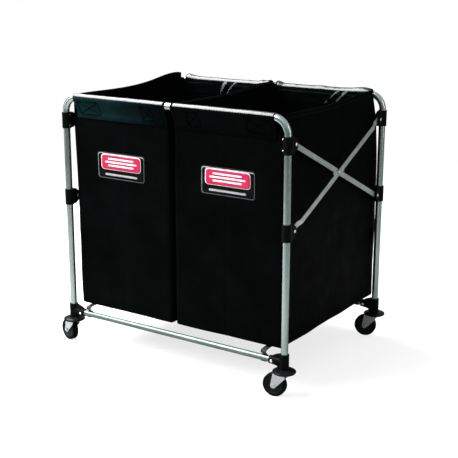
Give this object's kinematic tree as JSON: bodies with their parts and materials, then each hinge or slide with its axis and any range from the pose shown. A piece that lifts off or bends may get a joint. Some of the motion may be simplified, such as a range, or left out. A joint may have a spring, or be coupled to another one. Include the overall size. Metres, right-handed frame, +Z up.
{
  "type": "housekeeping cart",
  "caption": "Folding laundry cart: two tube frames joined by scissor braces, open-top cloth bags hung side by side between them, and swivel casters.",
  "frame": {"origin": "on the floor, midway between the four legs", "axes": "+X along the long front towards the right, +Y from the labelled front to the rear, +Z up"},
  "size_m": [0.946, 0.697, 0.8663],
  "materials": {
    "frame_tube": "silver-grey satin coat",
    "brace_bar": "silver-grey satin coat",
    "zinc": "bright zinc plate",
    "black_plastic": "black, fine moulded grain",
    "bumper": "black, smooth",
    "hub": "dark grey",
    "tyre": "black, smooth tread",
    "bag_cloth": "black coated cloth, slightly glossy",
    "webbing": "black woven webbing",
    "label": "printed, satin"
  },
  "bodies": {
    "front_frame": {"frame_front": "frame_tube", "cross_tube_front": "frame_tube", "socket_front_left": "black_plastic", "socket_front_right": "black_plastic", "bumpers_front": "bumper", "stems_front": "zinc", "clamp_upper_front_left": "black_plastic", "clamp_upper_front_right": "black_plastic", "fixings_front": "zinc", "bag_front_left": "bag_cloth", "bag_front_right": "bag_cloth", "bag_sides_left": "bag_cloth", "bag_sides_right": "bag_cloth", "bag_floor_left": "bag_cloth", "bag_floor_right": "bag_cloth", "straps": "webbing", "labels": "label"},
    "rear_frame": {"frame_rear": "frame_tube", "cross_tube_rear": "frame_tube", "socket_rear_left": "black_plastic", "socket_rear_right": "black_plastic", "bumpers_rear": "bumper", "stems_rear": "zinc", "clamp_upper_rear_left": "black_plastic", "clamp_upper_rear_right": "black_plastic", "fixings_rear": "zinc", "bag_rear_left": "bag_cloth", "bag_rear_right": "bag_cloth"},
    "brace_straight_left": {"brace_straight_left": "brace_bar", "brace_pivot_left": "zinc"},
    "brace_joggled_left": {"brace_joggled_left": "brace_bar"},
    "brace_straight_right": {"brace_straight_right": "brace_bar", "brace_pivot_right": "zinc"},
    "brace_joggled_right": {"brace_joggled_right": "brace_bar"},
    "lower_clamp_front_left": {"clamp_lower_front_left": "black_plastic", "rivet_lower_front_left": "zinc"},
    "caster_front_left": {"fork_front_left": "zinc", "axle_front_left": "zinc"},
    "wheel_front_left": {"hub_front_left": "hub", "tyre_front_left": "tyre"},
    "lower_clamp_front_right": {"clamp_lower_front_right": "black_plastic", "rivet_lower_front_right": "zinc"},
    "caster_front_right": {"fork_front_right": "zinc", "axle_front_right": "zinc"},
    "wheel_front_right": {"hub_front_right": "hub", "tyre_front_right": "tyre"},
    "lower_clamp_rear_left": {"clamp_lower_rear_left": "black_plastic", "rivet_lower_rear_left": "zinc"},
    "caster_rear_left": {"fork_rear_left": "zinc", "axle_rear_left": "zinc"},
    "wheel_rear_left": {"hub_rear_left": "hub", "tyre_rear_left": "tyre"},
    "lower_clamp_rear_right": {"clamp_lower_rear_right": "black_plastic", "rivet_lower_rear_right": "zinc"},
    "caster_rear_right": {"fork_rear_right": "zinc", "axle_rear_right": "zinc"},
    "wheel_rear_right": {"hub_rear_right": "hub", "tyre_rear_right": "tyre"}
  },
  "joints": [
    {"name": "fold", "type": "hinge", "parent": "front_frame", "child": "brace_straight_right", "pos_m": [0.421, -0.28, 0.775], "axis": [-1, 0, 0], "range_deg": [0, 54], "deforming": ["bag_sides_left", "bag_sides_right", "bag_floor_left", "bag_floor_right", "straps"]},
    {"name": "centre_pivot_right", "type": "hinge", "parent": "brace_straight_right", "child": "brace_joggled_right", "pos_m": [0.421, 0, 0.646], "axis": [1, 0, 0], "range_deg": [0, 108]},
    {"name": "rear_frame_pivot", "type": "hinge", "parent": "brace_joggled_right", "child": "rear_frame", "pos_m": [0.421, 0.28, 0.775], "axis": [-1, 0, 0], "range_deg": [0, 54]},
    {"name": "lower_clamp_pivot_front_right", "type": "hinge", "parent": "brace_joggled_right", "child": "lower_clamp_front_right", "pos_m": [0.421, -0.28, 0.517], "axis": [-1, 0, 0], "range_deg": [0, 54]},
    {"name": "lower_clamp_pivot_rear_right", "type": "hinge", "parent": "brace_straight_right", "child": "lower_clamp_rear_right", "pos_m": [0.421, 0.28, 0.517], "axis": [1, 0, 0], "range_deg": [0, 54]},
    {"name": "upper_pivot_front_left", "type": "hinge", "parent": "front_frame", "child": "brace_straight_left", "pos_m": [-0.421, -0.28, 0.775], "axis": [-1, 0, 0], "range_deg": [0, 54]},
    {"name": "centre_pivot_left", "type": "hinge", "parent": "brace_straight_left", "child": "brace_joggled_left", "pos_m": [-0.421, 0, 0.646], "axis": [1, 0, 0], "range_deg": [0, 108]},
    {"name": "lower_clamp_pivot_front_left", "type": "hinge", "parent": "brace_joggled_left", "child": "lower_clamp_front_left", "pos_m": [-0.421, -0.28, 0.517], "axis": [-1, 0, 0], "range_deg": [0, 54]},
    {"name": "lower_clamp_pivot_rear_left", "type": "hinge", "parent": "brace_straight_left", "child": "lower_clamp_rear_left", "pos_m": [-0.421, 0.28, 0.517], "axis": [1, 0, 0], "range_deg": [0, 54]},
    {"name": "swivel_front_left", "type": "hinge", "parent": "front_frame", "child": "caster_front_left", "pos_m": [-0.421, -0.312, 0.0785], "axis": [0, 0, 1], "continuous": true},
    {"name": "roll_front_left", "type": "hinge", "parent": "caster_front_left", "child": "wheel_front_left", "pos_m": [-0.44998, -0.30423, 0.0375], "axis": [-0.2588, -0.9659, 0], "continuous": true},
    {"name": "swivel_front_right", "type": "hinge", "parent": "front_frame", "child": "caster_front_right", "pos_m": [0.421, -0.312, 0.0785], "axis": [0, 0, 1], "continuous": true},
    {"name": "roll_front_right", "type": "hinge", "parent": "caster_front_right", "child": "wheel_front_right", "pos_m": [0.39122, -0.31566, 0.0375], "axis": [0.1219, -0.9925, 0], "continuous": true},
    {"name": "swivel_rear_left", "type": "hinge", "parent": "rear_frame", "child": "caster_rear_left", "pos_m": [-0.421, 0.312, 0.0785], "axis": [0, 0, 1], "continuous": true},
    {"name": "roll_rear_left", "type": "hinge", "parent": "caster_rear_left", "child": "wheel_rear_left", "pos_m": [-0.451, 0.312, 0.0375], "axis": [0, -1, 0], "continuous": true},
    {"name": "swivel_rear_right", "type": "hinge", "parent": "rear_frame", "child": "caster_rear_right", "pos_m": [0.421, 0.312, 0.0785], "axis": [0, 0, 1], "continuous": true},
    {"name": "roll_rear_right", "type": "hinge", "parent": "caster_rear_right", "child": "wheel_rear_right", "pos_m": [0.39166, 0.30576, 0.0375], "axis": [0.2079, -0.9781, 0], "continuous": true}
  ],
  "couplings": [
    {"joint": "centre_pivot_right", "follows": "fold", "ratio": 2},
    {"joint": "rear_frame_pivot", "follows": "fold", "ratio": 1},
    {"joint": "lower_clamp_pivot_front_right", "follows": "fold", "ratio": 1},
    {"joint": "lower_clamp_pivot_rear_right", "follows": "fold", "ratio": 1},
    {"joint": "upper_pivot_front_left", "follows": "fold", "ratio": 1},
    {"joint": "centre_pivot_left", "follows": "fold", "ratio": 2},
    {"joint": "lower_clamp_pivot_front_left", "follows": "fold", "ratio": 1},
    {"joint": "lower_clamp_pivot_rear_left", "follows": "fold", "ratio": 1}
  ]
}
